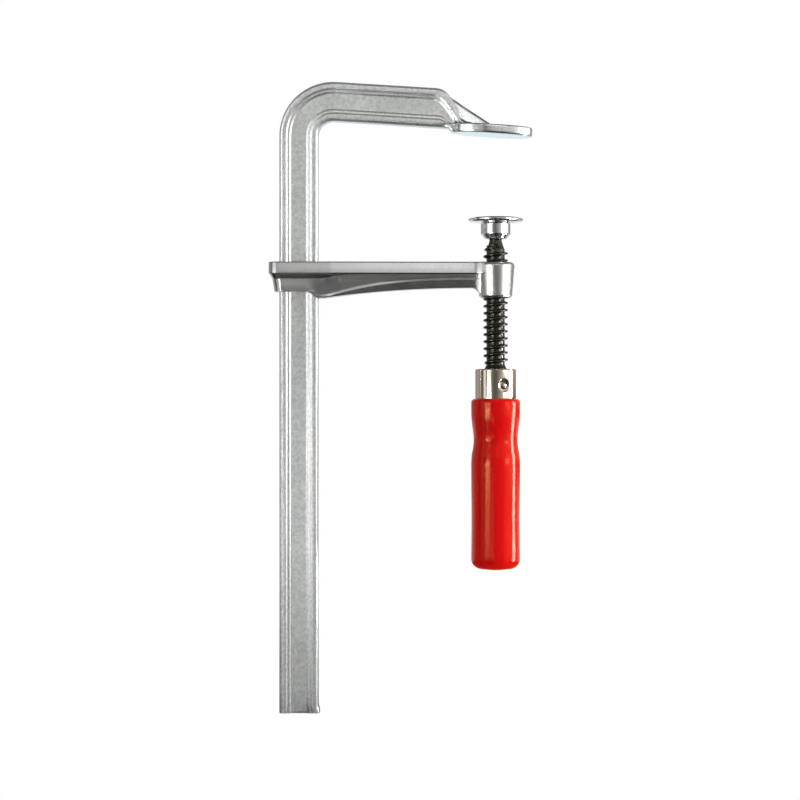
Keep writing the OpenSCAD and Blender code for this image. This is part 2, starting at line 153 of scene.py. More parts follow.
def slope_top(q):
    """Height of the arm's top edge over its sloping end."""
    return along(q, (-35, 24.3), (-33, 24.1), (-31, 23.3), (-29.4, 22.2), (-28, 20.9), (-26.5, 18.9),
                 (-23.2, 12.6), (-22, 10.4), (-20.8, 8.3), (-19.6, 6.8), (-18.2, 5.8), (-16.4, JAW_T))


def slope_inside(q, inset):
    """Height of a line that runs below the arm's top edge at about an even distance, its corner eased."""
    angles = [math.radians(7.5 * k) for k in range(25)]
    spread = [q - 6 + k for k in range(13)]
    heights = [min(slope_top(s + inset * math.cos(a) / 2) - inset * math.sin(a) for a in angles)
               for s in spread]
    return sum(heights) / len(heights)


def plate_half(q, inset):
    """Half width of the oval jaw plate at q, for an edge drawn in by inset."""
    out = min(1, abs(q - JAW_MIDDLE_Q) / (JAW_HALF_L - inset))
    return (JAW_HALF_W - inset) * (1 - out ** JAW_OVAL) ** (1 / JAW_OVAL)


def head_outline(q):
    """Half section of the forged head: gusset on top, sloping end of the arm, jaw plate below."""
    left = min(JAW_EDGE_R, max(0.0, JAW_MIDDLE_Q + JAW_HALF_L - q))
    tip_drop = JAW_EDGE_R * (1 - math.cos(math.asin(1 - left / JAW_EDGE_R)))
    plate_top = JAW_T - tip_drop
    plate_low = along(q, (-27, JAW_DROP), (-24.6, 0.25), (-23.6, 0)) + tip_drop
    neck = RAIL_HALF_T * (1 - eased(-16, -12, q))
    arm_top = max(slope_top(q) - tip_drop, plate_top + 0.01)
    crest = along(q, (-35, 24.3), (-32.7, 24.1), (-29.7, 22.3), (-26.9, 20.1), (-1.2, JAW_T))
    crest = max(crest - tip_drop, arm_top)
    inner = max(plate_half(q, JAW_EDGE_R), neck - JAW_EDGE_R)
    shoulder = min(RAIL_HALF_T, inner + JAW_EDGE_R)
    gusset = min(GUSSET_HALF_T, inner)
    tall = crest - arm_top
    brow = min(GUSSET_BROW_R, tall / 2, gusset)
    root = min(GUSSET_ROOT_R, tall / 2, max(0, shoulder - gusset) / 2)
    foot = min(gusset + GUSSET_DRAFT * tall, shoulder - root)
    room = (arm_top - plate_top) / 2.2
    r = min(RAIL_EDGE_R - 0.9 * eased(-34, -27, q), room, max(0, shoulder - foot - root))
    fillet = min(SLOPE_FILLET_R, room, max(0, inner - shoulder))
    drop = 1 - 0.9 * eased(-33, -22, q)
    end = max(plate_top + fillet, JAW_DROP + RAIL_EDGE_R * (1 - eased(-27, -23, q)))
    side = recessed_side(max(arm_top - r, end), end, lambda w: max(slope_inside(q, w), end),
                         lambda w: max(JAW_DROP + w * drop, end))
    side = [Vector((min(p.x, shoulder), p.y)) for p in side]
    rim = []
    for k in range(7):
        a = math.radians(15 * k)
        inset = JAW_EDGE_R * (1 - math.sin(a))
        rim.append(Vector((max(plate_half(q, inset), neck - inset),
                           JAW_T - max(tip_drop, JAW_EDGE_R * (1 - math.cos(a))))))
    under = [Vector((p.x, plate_low - tip_drop + JAW_T - p.y)) for p in reversed(rim)]
    return [
        *respaced([Vector((0, crest)), Vector((gusset - brow, crest))], 4),
        *respaced([*arc(gusset - brow, crest - brow, brow, 90, 0, 6),
                   *arc(foot + root, arm_top + root, root, 180, 270, 4)], 10),
        *respaced([Vector((foot + root, arm_top)), *arc(shoulder - r, arm_top - r, r, 90, 0, 6)], 7),
        *side,
        *respaced([*arc(shoulder + fillet, plate_top + fillet, fillet, 180, 270, 6), rim[0]], 12),
        *respaced([*rim, *under], 12),
        *respaced([under[-1], Vector((0, under[-1].y))], 5),
    ]


def ring_of(outline, place):
    """Whole ring from a half section: the far side first, then the near side mirrored back."""
    far = [place(p.x, p.y) for p in outline]
    near = [place(-p.x, p.y) for p in reversed(outline[1:-1])]
    return far + near


def mesh_from(name, bm):
    """Plain mesh from a bmesh, which is freed."""
    mesh = bpy.data.meshes.new(name)
    bm.to_mesh(mesh)
    bm.free()
    return mesh


def skinned(name, rings):
    """Closed mesh over rings of points in millimetres, each end closed by strips from side to side."""
    bm = bmesh.new()
    count = len(rings[0])
    verts = [[bm.verts.new(p * MM) for p in ring] for ring in rings]
    for a, b in zip(verts, verts[1:]):
        for j in range(count):
            k = (j + 1) % count
            bm.faces.new((a[j], a[k], b[k], b[j]))
    half = count // 2
    for ring in (verts[0], verts[-1]):
        far = ring[:half + 1]
        near = [far[0], *ring[:half:-1], far[-1]]
        top = max(j for j in range(half) if (far[j].co - far[0].co).xz.length < 1e-7)
        low = min(j for j in range(half + 1) if (far[j].co - far[-1].co).xz.length < 1e-7)
        for j in range(top, low):
            upper = [near[j], far[j]]
            if j == top:
                upper = [*near[top:0:-1], *far[:top + 1]]
            lower = [far[j + 1], near[j + 1]]
            if j + 1 == low:
                lower = [*far[low:], *near[half - 1:low - 1:-1]]
            bm.faces.new(list(dict.fromkeys(upper + lower)))
    bmesh.ops.remove_doubles(bm, verts=bm.verts, dist=1e-6)
    bmesh.ops.dissolve_degenerate(bm, edges=bm.edges, dist=1e-6)
    bmesh.ops.recalc_face_normals(bm, faces=bm.faces)
    return mesh_from(name, bm)


def new_piece(name, mesh):
    """Object at the origin that carries a mesh."""
    piece = bpy.data.objects.new(name, mesh)
    bpy.context.scene.collection.objects.link(piece)
    return piece


def settle(piece):
    """Turns a piece with its modifiers into a plain mesh."""
    shown = piece.evaluated_get(bpy.context.evaluated_depsgraph_get())
    mesh = bpy.data.meshes.new_from_object(shown)
    piece.modifiers.clear()
    piece.data = mesh
    mesh.name = piece.name


def shade(piece, angle=35):
    """Smooth shading that breaks at sharp edges and keeps broad faces flat."""
    piece.data.polygons.foreach_set("use_smooth", [True] * len(piece.data.polygons))
    piece.data.set_sharp_from_angle(angle=math.radians(angle))
    flat = piece.modifiers.new("flat faces", "WEIGHTED_NORMAL")
    flat.keep_sharp = True
    settle(piece)


def dress(piece, material):
    """Gives a piece one material."""
    piece.data.materials.clear()
    piece.data.materials.append(material)


def feed(node, **inputs):
    """Sets inputs of a node, each to a value or to an output of another node."""
    for key, value in inputs.items():
        socket = node.inputs[key.replace("_", " ")]
        if isinstance(value, bpy.types.NodeSocket):
            node.id_data.links.new(value, socket)
        else:
            socket.default_value = value


def node_maker(tree):
    """Function that adds a node of a kind to a node tree, with its inputs."""
    def add(kind, **inputs):
        node = tree.nodes.new(kind)
        feed(node, **inputs)
        return node
    return add


def plain_material(name):
    """Material with one Principled shader; returns it with the shader and a node maker."""
    material = bpy.data.materials.new(name)
    material.use_nodes = True
    tree = material.node_tree
    return material, tree.nodes["Principled BSDF"], node_maker(tree)


def plated_steel(name, dull, bright, rough, fine=900, grain=0.02, speckle=0.2, polish=None, tint=None,
                 metal=1.0):
    """Plated steel: faint clouds and specks in the colour, uneven gloss and a fine grain in the plating.

    With polish = (x from, x to, roughness), the plating gets another gloss along x, in metres. The tint
    shows where the plating is seen at a low angle. Metal below 1 gives a satin plating, which is fully
    bright again past the polish.
    """
    material, shader, add = plain_material(name)
    if tint:
        feed(shader, Specular_Tint=(*tint, 1))
    place = add("ShaderNodeTexCoord").outputs["Object"]
    clouds = add("ShaderNodeTexNoise", Vector=place, Scale=70.0, Detail=6.0, Roughness=0.7).outputs["Fac"]
    crystals = add("ShaderNodeTexNoise", Vector=place, Scale=fine, Detail=3.0).outputs["Fac"]
    specks = add("ShaderNodeMapRange", Value=crystals, From_Min=0.35, From_Max=0.65)
    mottle = add("ShaderNodeMix", Factor=speckle, A=clouds, B=specks.outputs["Result"])
    colour = add("ShaderNodeMix")
    colour.data_type = "RGBA"
    feed(colour, Factor=mottle.outputs["Result"], A=(*dull, 1), B=(*bright, 1))
    low, high = rough
    gloss = add("ShaderNodeMapRange", Value=clouds, From_Min=0.3, From_Max=0.7, To_Min=low, To_Max=high)
    bump = add("ShaderNodeBump", Height=crystals, Strength=grain, Distance=0.00005)
    feed(shader, Metallic=metal, Base_Color=colour.outputs["Result"], Normal=bump.outputs["Normal"])
    if polish:
        start, end, polished = polish
        x = add("ShaderNodeSeparateXYZ", Vector=place).outputs["X"]
        gloss = add("ShaderNodeMapRange", Value=x, From_Min=start, From_Max=end,
                    To_Min=gloss.outputs["Result"], To_Max=polished)
        bare = add("ShaderNodeMapRange", Value=x, From_Min=start, From_Max=end, To_Min=metal)
        feed(shader, Metallic=bare.outputs["Result"])
    feed(shader, Roughness=gloss.outputs["Result"])
    return material


bend_x = -THROAT + BEND_R
bend_z = (-bend_x * math.sin(TOE) - BEND_R + JAW_DROP) / math.cos(TOE)
arm_start = bend_x * math.cos(TOE) - bend_z * math.sin(TOE)
full_section = bar_outline(JAW_DROP + RAIL_W, JAW_DROP)


def on_bar(z, inset=0.0):
    """Placer for the upright bar at height z; inset draws the section in for a chamfered end."""
    def place(y, p):
        keep = 1 - inset / (RAIL_W / 2)
        out = (p - JAW_DROP - RAIL_W / 2) * keep + RAIL_W / 2
        return Vector((-THROAT - out, y * (1 - inset / RAIL_HALF_T), z))
    return place


def on_bend(angle):
    """Placer for the bend, at an angle from the -X direction, in radians."""
    out = Vector((-math.cos(angle), 0, math.sin(angle)))

    def place(y, p):
        return Vector((bend_x, y, bend_z)) + out * (BEND_R + p - JAW_DROP)
    return place


def on_jaw(q):
    """Placer for the fixed arm and jaw, at q along them from the screw's axis."""
    def place(y, p):
        return Vector((q * math.cos(TOE) + p * math.sin(TOE), y, p * math.cos(TOE) - q * math.sin(TOE)))
    return place


BAR_STEPS = 15
BEND_STEPS = 30
ARM_STEPS = 8
HEAD_START = -36
rail_rings = []
for up, inset, lip in ((0, 0.5, 0.8), (0.5, 0, 1), (1.7, 0, 1), (3.4, 0, 0.5), (STOP_H, 0, 0)):
    section = bar_outline(JAW_DROP + RAIL_W, JAW_DROP - STOP_OUT * lip)
    rail_rings.append(ring_of(section, on_bar(RAIL_LOW + up, inset)))
bar_start = RAIL_LOW + STOP_H
for k in range(1, BAR_STEPS + 1):
    rail_rings.append(ring_of(full_section, on_bar(bar_start + (bend_z - bar_start) * k / BAR_STEPS)))
for k in range(1, BEND_STEPS + 1):
    rail_rings.append(ring_of(full_section, on_bend((math.pi / 2 + TOE) * k / BEND_STEPS)))
for k in range(1, ARM_STEPS + 1):
    q = arm_start + (HEAD_START - arm_start) * k / ARM_STEPS
    rail_rings.append(ring_of(full_section, on_jaw(q)))
head_q = [HEAD_START + 0.5 + 0.25 * k for k in range(90)]
head_q += [JAW_MIDDLE_Q + JAW_HALF_L * math.sin(math.radians(a)) for a in range(-28, 92, 3)]
for q in head_q:
    head = head_outline(q)
    above = eased(-35, -33, q)
    below = eased(-33, -24.5, q)
    head[:TOP_POINTS] = [a.lerp(b, above) for a, b in zip(full_section, head[:TOP_POINTS])]
    head[-LOW_POINTS:] = [a.lerp(b, below) for a, b in zip(full_section[-LOW_POINTS:], head[-LOW_POINTS:])]
    rail_rings.append(ring_of(head, on_jaw(q)))
rail = new_piece("rail_body", skinned("rail_body", rail_rings))
shade(rail)
dress(rail, plated_steel("soft_silver_plate", (0.66, 0.68, 0.66), (0.97, 0.985, 0.96), (0.3, 0.38),
                         fine=640, speckle=0.65, polish=(-0.026, -0.023, 0.17), tint=(0.8, 0.92, 1),
                         metal=0.92))
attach(rail, "rail")
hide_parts("rail")

# Sliding arm
# One steel forging: a flange round the rail, a guide block under it, and a web that sweeps from the
# heel up to the threaded boss. Draft on every side, edges rounded by the die, plated like the rail.
# The slot and the thread are cut afterwards, and the arm jams on the rail when the screw is tightened.
ARM_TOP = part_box("sliding_arm")[1].z / MM
ARM_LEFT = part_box("sliding_arm")[0].x / MM
ARM_CORNER_R = 5.2
FLANGE_H = 6.8
FLANGE_HALF = 9.55
FLANGE_END_HALF = 7.05
FLANGE_DRAFT = 0.7
FLANGE_BROW_R = 0.9
FLANGE_EDGE_R = 0.4
FLANGE_FLARE = 1.3
TAPER_X = -93
WEB_INSET = 2.3
WEB_LEAN = 0.1
WEB_FLARE = 0.8
BLOCK_HALF = 8.05
BLOCK_DRAFT = 0.5
BLOCK_TOP = 9.8
BLOCK_LOW = 16.8
GROOVE_END = 7.3
ARM_LOW = 14.6
HEEL_X = -96.4
HEEL_LOW = 20.4
RIDGE_END = 9.9
RIDGE_SWELL = 1.4
RIDGE_PROUD = 0.26
UNDER_LEAN = 0.16
BOSS_H = 20.2
BOSS_TOP_R = 10.85
BOSS_LOW_R = 9.25
SLOT_PLAY = 0.3
BORE_R = 7.4
BORE_CHAMFER = 1.6


def sweep_up(x, power):
    """How much of the heel's drop is left at x, on the way from the heel to the boss."""
    return (1 - min(1, max(0, (x - HEEL_X) / -HEEL_X))) ** power


def widened(half, depth, x):
    """Half width with a flare where the arm runs into the boss, fuller on the flange than on the web."""
    if half <= 0.5:
        return half
    full = FLANGE_FLARE if depth < FLANGE_H else WEB_FLARE
    return half + full * min(1.2, max(0, (x + 12.5) / 4.3) ** 2)


def arm_rows(x):
    """Half section of the arm at x as (half width, depth, shift of its left end), from the top down.

    Left of the heel the guide block hangs under the flange. Right of it hangs the web, with a ridge along
    its side. Between the two, one runs into the other.
    """
    flange = FLANGE_HALF - (FLANGE_HALF - FLANGE_END_HALF) * max(0, x - TAPER_X) / -TAPER_X
    thin = flange - WEB_INSET
    low = ARM_LOW + (HEEL_LOW - ARM_LOW) * sweep_up(x, 2.45)
    low = min(low, along(x, (-107, BLOCK_LOW), (-105.2, BLOCK_LOW + 0.6), (-100.2, HEEL_LOW)))
    low += min(3.5, 2 * max(0, (x + 13.5) / 3.5) ** 2)
    ridge = min(RIDGE_END + (HEEL_LOW - 0.2 - RIDGE_END) * sweep_up(x, 3.15), low - 0.8)

    # Flange
    brow = flange - FLANGE_DRAFT - 0.25
    rows = [(0, 0, 0), (flange - 3, 0, 0)]
    rows += [(p.x, -p.y, 0) for p in arc(brow - FLANGE_BROW_R, -FLANGE_BROW_R, FLANGE_BROW_R, 90, 11, 6)]
    rows += [(brow + 0.18, 1.7, 0), (brow + 0.25, 2, 0), (flange - 0.3, 3.8, 0), (flange, 6.2, 0)]
    lip = arc(flange - FLANGE_EDGE_R, FLANGE_EDGE_R - FLANGE_H, FLANGE_EDGE_R, -6, -62, 5)
    rows += [(p.x, -p.y, 0.15) for p in lip]

    # Groove under the flange, then the upper side of the block or the web
    in_block = 1 - eased(-96, -88.5, x)
    half = thin + (BLOCK_HALF - thin) * in_block
    groove_low = GROOVE_END + (BLOCK_TOP - GROOVE_END) * (1 - eased(-102, -80, x))
    top = min(groove_low, ridge - 2)
    under_flange = FLANGE_H - 0.05
    for k in range(1, 5):
        inward = flange - FLANGE_EDGE_R + (half + FLANGE_EDGE_R - flange) * k / 4
        rows.append((inward, under_flange + (top - 0.15 - under_flange) * k / 4, 0.4 + 0.4 * k))
    edge = min(along(x, (-105, BLOCK_LOW), (-102, BLOCK_LOW - 1), (-90, BLOCK_TOP + 0.5)), ridge - 1.7)
    for k in range(5):
        depth = top + 0.05 + max(0, edge - 0.15 - top) * k / 4
        lean = BLOCK_DRAFT * in_block * k / 4 + WEB_LEAN * (depth - top) * (1 - in_block)
        rows.append((half - lean, depth, 2.1 + (depth - top) / 6))
    side_low = rows[-1][0]

    # Underside of the block
    rim = half - BLOCK_DRAFT
    under = [(rim - 0.2, BLOCK_LOW - 0.1), (rim - 0.6, BLOCK_LOW)]
    under += [(rim - 0.8 - 0.25 * k, BLOCK_LOW) for k in range(15)] + [(0, BLOCK_LOW)]

    # Lower side of the web: down to the ridge, over it and round the lower edge
    swell = min(RIDGE_SWELL, 0.6 * (ridge - edge))
    foot = min(edge + 1.5, ridge - swell - 0.1)
    start = thin - 0.1 - WEB_LEAN * (edge - top) * (1 - in_block)
    tall = max(0.02, ridge - swell - foot)
    base = start - WEB_LEAN * tall
    proud = RIDGE_PROUD * (1 - eased(-82, -38, x)) * eased(-101, -94, x)
    deep = low - 0.6 - ridge
    fall = base + proud - 0.05
    last = fall - UNDER_LEAN * deep
    web = [(side_low - 0.25 * in_block, edge), (start, foot)]
    web += [(start - WEB_LEAN * tall * k / 3, foot + tall * k / 3) for k in range(1, 4)]
    web += [(base + out * proud, ridge - up * swell) for out, up in ((0.15, 0.7), (0.5, 0.4), (0.9, 0.1))]
    web += [(base + proud, ridge + 0.2)]
    web += [(fall - UNDER_LEAN * deep * k / 4, ridge + 0.25 + (deep - 0.2) * k / 4) for k in range(5)]
    web += [(last - 0.15, low - 0.4), (last - 0.4, low - 0.15), (last - 0.9, low), (0, low)]

    past = eased(-107, -104.5, x)
    for (y, depth), (web_y, web_depth) in zip(under, web, strict=True):
        rows.append((y + (web_y - y) * past, depth + (web_depth - depth) * past, 3.2))
    return [(widened(y, depth, x), depth, shift) for y, depth, shift in rows]


def arm_ring(x, corner):
    """Ring of the arm at x; corner is the angle reached round the plan's end corners, 90 once past them."""
    drawn = ARM_CORNER_R * (1 - math.sin(math.radians(corner)))
    far = []
    for y, depth, left in arm_rows(x):
        pulled = x + left * max(0, 1 - (x - ARM_LEFT) / 14)
        far.append(Vector((pulled, max(0, y - drawn), ARM_TOP - depth)))
    near = [Vector((p.x, -p.y, p.z)) for p in reversed(far[1:-1])]
    return far + near


arm_rings = []
for k in range(8):
    corner = 90 * k / 7
    x = ARM_LEFT + ARM_CORNER_R * (1 - math.cos(math.radians(corner)))
    arm_rings.append(arm_ring(x, corner))
arm_x = [-122 + 0.75 * k for k in range(45)] + [-88 + 3 * k for k in range(23)]
arm_x += [-20 + k for k in range(6)] + [-14.2 + 0.3 * k for k in range(27)]
for x in arm_x:
    arm_rings.append(arm_ring(x, 90))
arm = new_piece("arm_forging", skinned("arm_forging", arm_rings))


def rounded(corners, steps):
    """Open outline through corners given as (x, y, radius), those with a radius turned into arcs."""
    points = []
    for i, (x, y, radius) in enumerate(corners):
        here = Vector((x, y))
        if radius == 0:
            points.append(here)
            continue
        back = Vector(corners[i - 1][:2]) - here
        ahead = Vector(corners[i + 1][:2]) - here
        half = back.angle(ahead) / 2
        reach = min(radius / math.tan(half), 0.49 * back.length, 0.49 * ahead.length)
        centre = here + (back.normalized() + ahead.normalized()).normalized() * (reach / math.cos(half))
        start = here + back.normalized() * reach - centre
        turn = start.angle_signed(here + ahead.normalized() * reach - centre)
        for k in range(steps + 1):
            spoke = start.copy()
            spoke.rotate(Matrix.Rotation(-turn * k / steps, 2))
            points.append(centre + spoke)
    return points


def turned(name, profile, segments=128):
    """Closed mesh turned round the screw's axis from a profile of (radius, z), in millimetres.

    The profile starts and ends on the axis, or comes back to its first point.
    """
    bm = bmesh.new()
    angles = [2 * math.pi * k / segments for k in range(segments)]
    rows = []
    for r, z in profile:
        if r < 1e-6:
            rows.append([bm.verts.new((0, 0, z * MM))] * segments)
        else:
            ring = [(r * MM * math.cos(a), r * MM * math.sin(a)) for a in angles]
            rows.append([bm.verts.new((x, y, z * MM)) for x, y in ring])
    for a, b in zip(rows, rows[1:]):
        for k in range(segments):
            n = (k + 1) % segments
            corners = list(dict.fromkeys((a[k], a[n], b[n], b[k])))
            if len(corners) > 2:
                bm.faces.new(corners)
    bmesh.ops.recalc_face_normals(bm, faces=bm.faces)
    if profile[0][0] > 1e-6:
        bmesh.ops.remove_doubles(bm, verts=bm.verts, dist=1e-6)
        bmesh.ops.recalc_face_normals(bm, faces=bm.faces)
    return mesh_from(name, bm)


def cut(piece, mesh, operation="DIFFERENCE"):
    """Cuts a mesh out of a piece or joins it on, and closes the small gaps that the cut leaves."""
    tool = new_piece("tool", mesh)
    step = piece.modifiers.new("cut", "BOOLEAN")
    step.operation = operation
    step.solver = "EXACT"
    step.object = tool
    settle(piece)
    bpy.data.objects.remove(tool)
    bm = bmesh.new()
    bm.from_mesh(piece.data)
    bmesh.ops.remove_doubles(bm, verts=bm.verts, dist=6e-5)
    bmesh.ops.dissolve_degenerate(bm, edges=bm.edges, dist=1e-5)
    bmesh.ops.holes_fill(bm, edges=[e for e in bm.edges if e.is_boundary], sides=4)
    bm.to_mesh(piece.data)
    bm.free()


def block_mesh(name, low, high):
    """Plain box between two corners, in millimetres."""
    bm = bmesh.new()
    size = [(b - a) * MM for a, b in zip(low, high)]
    middle = [(a + b) / 2 * MM for a, b in zip(low, high)]
    bmesh.ops.create_cube(bm, size=1, matrix=Matrix.Translation(middle) @ Matrix.Diagonal((*size, 1)))
    return mesh_from(name, bm)


boss_low = ARM_TOP - BOSS_H
boss_profile = rounded([(0, ARM_TOP, 0), (BOSS_TOP_R, ARM_TOP, 2.2), (BOSS_LOW_R, boss_low, 1.6),
                        (0, boss_low, 0)], 10)
cut(arm, turned("boss", boss_profile), "UNION")
bore_top = ARM_TOP + 1
bore_low = boss_low - 1
bore_profile = [(0, bore_top), (BORE_R + BORE_CHAMFER, bore_top), (BORE_R, bore_top - BORE_CHAMFER),
                (BORE_R, bore_low + BORE_CHAMFER), (BORE_R + BORE_CHAMFER, bore_low), (0, bore_low)]
cut(arm, turned("bore", bore_profile))
cut(arm, block_mesh("slot", (-THROAT - RAIL_W - SLOT_PLAY, -RAIL_HALF_T - SLOT_PLAY, ARM_TOP - 30),
                    (-THROAT + SLOT_PLAY, RAIL_HALF_T + SLOT_PLAY, ARM_TOP + 5)))
shade(arm, 22)


def math_maker(tree):
    """Function that adds a math node to a node tree and returns its output."""
    def math_node(operation, *values):
        node = tree.nodes.new("ShaderNodeMath")
        node.operation = operation
        for socket, value in zip(node.inputs, values):
            if isinstance(value, (int, float)):
                socket.default_value = value
            else:
                tree.links.new(value, socket)
        return node.outputs[0]
    return math_node


def helix_tree():
    """Geometry Nodes tree for a screw thread: a grid rolled up into one helical strip of turns."""
    tree = bpy.data.node_groups.new("screw_thread", "GeometryNodeTree")
    sizes = {"Turns": 15.0, "Pitch": 4.0, "Root radius": 5.0, "Depth": 2.0, "Crest width": 1.2,
             "Flank width": 0.7, "Start height": 0.0, "Start turn": 0.0, "Runout turns": 0.6}
    for key, value in sizes.items():
        socket = tree.interface.new_socket(key, in_out="INPUT", socket_type="NodeSocketFloat")
        socket.default_value = value
    tree.interface.new_socket("Finish", in_out="INPUT", socket_type="NodeSocketMaterial")
    tree.interface.new_socket("Geometry", in_out="OUTPUT", socket_type="NodeSocketGeometry")
    add = node_maker(tree)
    math_node = math_maker(tree)
    entry = add("NodeGroupInput")
    steps, across = 48, 17
    size = {key: entry.outputs[key] for key in sizes}
    rows = math_node("ADD", math_node("ROUND", math_node("MULTIPLY", size["Turns"], steps)), 1)
    grid = add("GeometryNodeMeshGrid", Vertices_X=rows, Vertices_Y=across)
    index = add("GeometryNodeInputIndex").outputs[0]
    row = math_node("FLOOR", math_node("DIVIDE", math_node("ADD", index, 0.5), across))
    column = math_node("SUBTRACT", index, math_node("MULTIPLY", row, across))
    turn = math_node("DIVIDE", row, steps)
    offset = math_node("MULTIPLY", size["Pitch"],
                       math_node("SUBTRACT", math_node("DIVIDE", column, across - 1), 0.5))
    half_crest = math_node("DIVIDE", size["Crest width"], 2)
    foot = math_node("ADD", half_crest, size["Flank width"])
    away = math_node("ABSOLUTE", offset)
    flank = add("ShaderNodeMapRange", Value=away, From_Min=foot, From_Max=half_crest)
    flank.interpolation_type = "SMOOTHSTEP"
    ends = math_node("MINIMUM", turn, math_node("SUBTRACT", size["Turns"], turn))
    ramp = math_node("MINIMUM", 1, math_node("DIVIDE", ends, size["Runout turns"]))
    rise = math_node("MULTIPLY", math_node("MULTIPLY", size["Depth"], ramp), flank.outputs["Result"])
    radius = math_node("ADD", size["Root radius"], rise)
    angle = math_node("MULTIPLY", math_node("ADD", turn, size["Start turn"]), 2 * math.pi)
    climb = math_node("ADD", size["Start height"], math_node("MULTIPLY", turn, size["Pitch"]))
    spot = add("ShaderNodeCombineXYZ")
    values = (math_node("MULTIPLY", radius, math_node("COSINE", angle)),
              math_node("MULTIPLY", radius, math_node("SINE", angle)), math_node("ADD", climb, offset))
    for socket, value in zip(spot.inputs, values):
        tree.links.new(math_node("MULTIPLY", value, MM), socket)
    move = add("GeometryNodeSetPosition", Geometry=grid.outputs["Mesh"], Position=spot.outputs[0])
    weld = add("GeometryNodeMergeByDistance", Distance=1e-6)
    smooth = add("GeometryNodeSetShadeSmooth")
    real = add("GeometryNodeRealizeInstances")
    finish = add("GeometryNodeSetMaterial", Material=entry.outputs["Finish"])
    chain = (move, weld, smooth, real, finish, add("NodeGroupOutput"))
    for a, b in zip(chain, chain[1:]):
        tree.links.new(a.outputs[0], b.inputs[0])
    return tree


thread_tree = helix_tree()


def thread_mesh(name, finish, facing, **sizes):
    """Plain mesh of a thread with the given sizes, facing away from the axis or, with facing -1, to it."""
    piece = new_piece(name, bpy.data.meshes.new(name))
    nodes = piece.modifiers.new("thread", "NODES")
    nodes.node_group = thread_tree
    keys = {item.name: item.identifier for item in thread_tree.interface.items_tree
            if item.in_out == "INPUT"}
    for key, value in sizes.items():
        nodes[keys[key.replace("_", " ").capitalize()]] = float(value)
    nodes[keys["Finish"]] = finish
    settle(piece)
    mesh = piece.data
    bpy.data.objects.remove(piece)
    bm = bmesh.new()
    bm.from_mesh(mesh)
    bmesh.ops.recalc_face_normals(bm, faces=bm.faces)
    outward = sum(f.normal.xy.dot(f.calc_center_median().xy) * f.calc_area() for f in bm.faces)
    if outward * facing < 0:
        bmesh.ops.reverse_faces(bm, faces=bm.faces)
    bm.to_mesh(mesh)
    bm.free()
    return mesh


def join(piece, mesh):
    """Adds a mesh to a piece's own."""
    bm = bmesh.new()
    bm.from_mesh(piece.data)
    bm.from_mesh(mesh)
    bm.to_mesh(piece.data)
    bm.free()


PITCH = 4
THREAD_LOW = ARM_TOP - 56.9
NUT_TURNS = 3.75
NUT_START_TURN = 9.25
arm_steel = plated_steel("forged_plate", (0.55, 0.55, 0.535), (0.65, 0.65, 0.63), (0.2, 0.26),
                         grain=0.005, speckle=0.5, polish=(-0.016, -0.01, 0.28))
dress(arm, arm_steel)
join(arm, thread_mesh("nut_thread", arm_steel, -1, turns=NUT_TURNS, root_radius=BORE_R - 0.05, depth=-2.05,
                      crest_width=0.9, flank_width=0.7, runout_turns=0.4, start_turn=0.75,
                      start_height=THREAD_LOW + PITCH / 2 + NUT_START_TURN * PITCH))
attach(arm, "sliding_arm")
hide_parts("sliding_arm")

# Screw
# A steel spindle with a rolled right-hand thread, a flared neck and a ball tip, blackened in oil.
# Its tang is driven into the handle, and a pin through the ferrule holds it.
BALL_R = 4.5
NECK_R = 3.4
THREAD_R = 7
ROOT_R = 5.2
LAND_R = 5.2
COLLAR_R = 6.3
SHANK_LEN = 3.4
TANG_R = 4
TANG_LEN = 53
THREAD_LEN = 64.5
THREAD_TURNS = 16.5
THREAD_START_TURN = -0.75
ball_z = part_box("spindle")[1].z / MM - BALL_R
ferrule_top = THREAD_LOW - SHANK_LEN
thread_top = THREAD_LOW + THREAD_LEN
neck_top = ball_z - 5
neck_low = thread_top - 0.6
ball = arc(0, ball_z, BALL_R, 90, -42, 22)
neck = [(NECK_R + (LAND_R - NECK_R) * (k / 10) ** 1.6, neck_top + (neck_low - neck_top) * k / 10)
        for k in range(11)]
core = [(LAND_R, thread_top - 3), (ROOT_R - 0.1, thread_top - 3.2), (ROOT_R - 0.1, THREAD_LOW + 3.2)]
collar = [(LAND_R, THREAD_LOW + 3), (LAND_R, ferrule_top + 2.6), (LAND_R + 0.3, ferrule_top + 1.8),
          (COLLAR_R - 0.2, ferrule_top + 0.7), (COLLAR_R, ferrule_top + 0.35), (COLLAR_R, ferrule_top)]
tang_low = ferrule_top - TANG_LEN
tang = [(TANG_R, ferrule_top), (TANG_R, tang_low + 1), (TANG_R - 1, tang_low), (0, tang_low)]
spindle = new_piece("spindle_screw", turned("spindle_screw", [*ball, *neck, *core, *collar, *tang], 96))
shade(spindle, 50)


def oil_black():
    """Blackened steel: nearly black, faintly brown, with a thin oily gloss."""
    material, shader, add = plain_material("oil_black")
    place = add("ShaderNodeTexCoord").outputs["Object"]
    wear = add("ShaderNodeTexNoise", Vector=place, Scale=420.0, Detail=5.0).outputs["Fac"]
    colour = add("ShaderNodeValToRGB", Fac=wear)
    colour.color_ramp.elements[0].color = (0.035, 0.033, 0.028, 1)
    colour.color_ramp.elements[1].color = (0.08, 0.075, 0.065, 1)
    gloss = add("ShaderNodeMapRange", Value=wear, To_Min=0.1, To_Max=0.18)
    bump = add("ShaderNodeBump", Height=wear, Strength=0.04, Distance=0.00005)
    feed(shader, Metallic=0.85, Base_Color=colour.outputs["Color"], Roughness=gloss.outputs["Result"],
         Normal=bump.outputs["Normal"])
    return material


